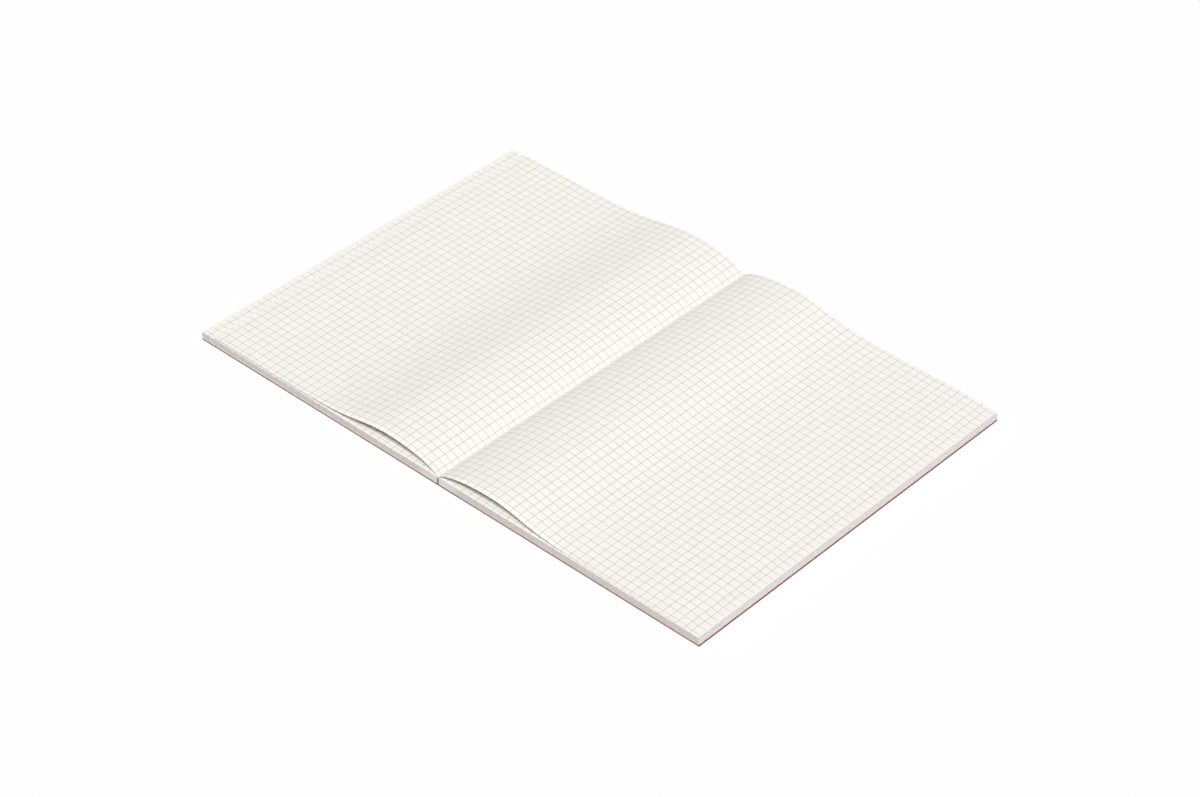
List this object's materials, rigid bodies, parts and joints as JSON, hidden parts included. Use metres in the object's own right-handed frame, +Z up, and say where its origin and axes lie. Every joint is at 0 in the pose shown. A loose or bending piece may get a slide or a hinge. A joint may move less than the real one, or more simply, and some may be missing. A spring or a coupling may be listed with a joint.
{
  "type": "notebook",
  "caption": "Open soft-cover notebook with square-ruled pages, sewn sections, card covers and a cloth spine tape; it shuts about the gutter and its covers and top leaves hinge.",
  "frame": {"origin": "on the surface the notebook lies on, under the middle of the gutter", "axes": "+X across the pages from the left page to the right page, +Y along the gutter from the foot of the pages to their head, +Z up"},
  "size_m": [0.3648, 0.257, 0.0145],
  "materials": {
    "cover_card": "brick-red coated card, satin",
    "page_paper": "off-white uncoated paper with a fine grey-green square ruling",
    "endpaper": "plain cream uncoated paper",
    "spine_tape": "black cloth binding tape, fine weave, matt",
    "spine_glue": "dried bookbinding glue, pale, satin",
    "sewing_thread": "white sewing thread"
  },
  "bodies": {
    "right_block": {"section_5": "page_paper", "section_6": "page_paper", "section_7": "page_paper", "middle_section_right_leaves": "page_paper", "back_spine_glue": "spine_glue", "back_tape_spine": "spine_tape", "thread_4": "sewing_thread", "thread_5": "sewing_thread", "thread_6": "sewing_thread", "thread_7": "sewing_thread"},
    "left_block": {"section_1": "page_paper", "section_2": "page_paper", "section_3": "page_paper", "middle_section_left_leaves": "page_paper", "front_spine_glue": "spine_glue", "front_tape_spine": "spine_tape", "thread_1": "sewing_thread", "thread_2": "sewing_thread", "thread_3": "sewing_thread"},
    "front_cover_board": {"front_cover": "cover_card", "front_endpaper": "endpaper", "front_tape_wing": "spine_tape"},
    "back_cover_board": {"back_cover": "cover_card", "back_endpaper": "endpaper", "back_tape_wing": "spine_tape"},
    "left_leaf": {"raised_left_leaf": "page_paper"},
    "right_leaf": {"raised_right_leaf": "page_paper"}
  },
  "joints": [
    {"name": "close_notebook", "type": "hinge", "parent": "right_block", "child": "left_block", "pos_m": [0, 0, 0.00556], "axis": [0, -1, 0], "range_deg": [-180, 0], "deforming": ["raised_left_leaf", "raised_right_leaf"]},
    {"name": "open_front_cover", "type": "hinge", "parent": "left_block", "child": "front_cover_board", "pos_m": [0, 0, 0], "axis": [0, 1, 0], "range_deg": [-175, 0]},
    {"name": "open_back_cover", "type": "hinge", "parent": "right_block", "child": "back_cover_board", "pos_m": [0, 0, 0], "axis": [0, 1, 0], "range_deg": [0, 175]},
    {"name": "lift_left_leaf", "type": "hinge", "parent": "left_block", "child": "left_leaf", "pos_m": [0, 0, 0.00556], "axis": [0, 1, 0], "range_deg": [0, 45]},
    {"name": "lift_right_leaf", "type": "hinge", "parent": "right_block", "child": "right_leaf", "pos_m": [0, 0, 0.00556], "axis": [0, -1, 0], "range_deg": [0, 45]}
  ]
}
